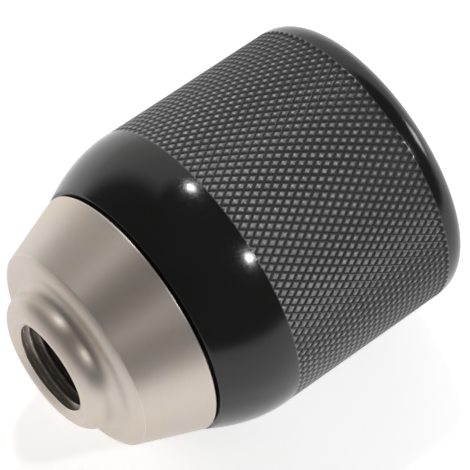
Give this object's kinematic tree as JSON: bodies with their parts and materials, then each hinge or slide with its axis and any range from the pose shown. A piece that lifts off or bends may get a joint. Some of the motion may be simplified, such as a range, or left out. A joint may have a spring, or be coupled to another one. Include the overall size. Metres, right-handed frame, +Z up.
{
  "type": "keyless drill chuck",
  "caption": "Keyless drill chuck: steel body with a threaded spindle socket, a knurled black gripping sleeve and three sliding jaws that centre and clamp a round tool shank.",
  "frame": {"origin": "centre of the rear face, where the chuck seats against the spindle's shoulder", "axes": "+X along the chuck's axis from the spindle end to the nose, +Z up through jaw_1, +Y to the left of a viewer who looks along +X"},
  "size_m": [0.0573, 0.043, 0.043],
  "materials": {
    "bright_steel": "turned and polished, warm reflections",
    "black_sleeve": "gloss black oxide over turned steel, diamond knurl on the grip",
    "jaw_steel": "ground tool steel, darkened teeth",
    "inner_steel": "machined steel, lightly oiled",
    "bearing_steel": "ground and polished",
    "spring_steel": "blued spring steel",
    "bronze": "sintered bronze, dull",
    "seal_rubber": "matte black nitrile"
  },
  "bodies": {
    "body": {"chuck_body": "bright_steel", "thrust_ring": "inner_steel", "rear_seal": "seal_rubber", "sleeve_washer": "inner_steel", "sleeve_snap_ring": "spring_steel", "bearing_race_rear": "bearing_steel", "nose_cap": "bright_steel", "nose_snap_ring": "spring_steel"},
    "sleeve": {"outer_sleeve": "black_sleeve", "rear_bush": "bronze", "front_bush": "bronze", "nut_half_a": "inner_steel", "nut_half_b": "inner_steel", "nut_band": "inner_steel", "drive_ring": "inner_steel", "bearing_race_front": "bearing_steel", "pawl_springs": "spring_steel"},
    "jaw_1": {"jaw_1": "jaw_steel"},
    "jaw_2": {"jaw_2": "jaw_steel"},
    "jaw_3": {"jaw_3": "jaw_steel"},
    "ball_cage": {"ball_cage": "bronze", "bearing_balls": "bearing_steel"},
    "lock_pawl_1": {"lock_pawl_1": "spring_steel"},
    "lock_pawl_2": {"lock_pawl_2": "spring_steel"}
  },
  "joints": [
    {"name": "sleeve_turn", "type": "hinge", "parent": "body", "child": "sleeve", "pos_m": [0.035, 0, 0], "axis": [-1, 0, 0], "range_deg": [0, 4608]},
    {"name": "jaw_1_slide", "type": "slide", "parent": "body", "child": "jaw_1", "axis": [0.9659, 0, -0.2588], "range_m": [0, 0.0213]},
    {"name": "jaw_2_slide", "type": "slide", "parent": "body", "child": "jaw_2", "axis": [0.9659, 0.2241, 0.1294], "range_m": [0, 0.0213]},
    {"name": "jaw_3_slide", "type": "slide", "parent": "body", "child": "jaw_3", "axis": [0.9659, -0.2241, 0.1294], "range_m": [0, 0.0213]},
    {"name": "cage_turn", "type": "hinge", "parent": "body", "child": "ball_cage", "pos_m": [0.039, 0, 0], "axis": [-1, 0, 0], "range_deg": [0, 2305]},
    {"name": "pawl_1_lock", "type": "hinge", "parent": "sleeve", "child": "lock_pawl_1", "pos_m": [0.0333, 0, -0.01945], "axis": [1, 0, 0], "range_deg": [0, 5]},
    {"name": "pawl_2_lock", "type": "hinge", "parent": "sleeve", "child": "lock_pawl_2", "pos_m": [0.0333, 0, 0.01945], "axis": [1, 0, 0], "range_deg": [0, 5]}
  ],
  "couplings": [
    {"joint": "jaw_1_slide", "follows": "sleeve_turn", "m_per_rad": 0.00026363},
    {"joint": "jaw_2_slide", "follows": "sleeve_turn", "m_per_rad": 0.00026363},
    {"joint": "jaw_3_slide", "follows": "sleeve_turn", "m_per_rad": 0.00026363},
    {"joint": "cage_turn", "follows": "sleeve_turn", "ratio": 0.5},
    {"joint": "pawl_2_lock", "follows": "pawl_1_lock", "ratio": 1}
  ]
}
